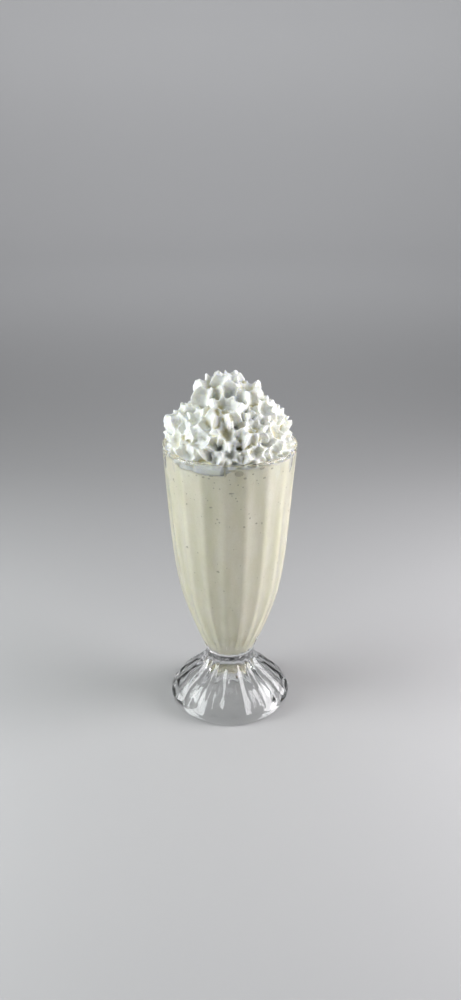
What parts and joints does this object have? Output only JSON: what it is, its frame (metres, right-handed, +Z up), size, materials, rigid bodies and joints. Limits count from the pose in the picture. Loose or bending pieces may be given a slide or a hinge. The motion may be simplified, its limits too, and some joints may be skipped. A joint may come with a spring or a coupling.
{
  "type": "vanilla milkshake",
  "caption": "Vanilla milkshake in a footed, fluted soda fountain glass, heaped with piped whipped cream.",
  "frame": {"origin": "on the table, at the middle of the foot", "axes": "+Z up along the glass's axis, -Y towards the viewer"},
  "size_m": [0.0826, 0.0826, 0.226],
  "materials": {
    "clear_glass": "pressed soda-lime glass, fire polished and clear",
    "vanilla_shake": "thick pale cream drink, wet against the glass, with small bubbles",
    "whipped_cream": "soft matt whipped cream, piped through a star nozzle"
  },
  "bodies": {
    "root": {"glass": "clear_glass", "milkshake": "vanilla_shake", "whipped_cream": "whipped_cream"}
  },
  "joints": []
}
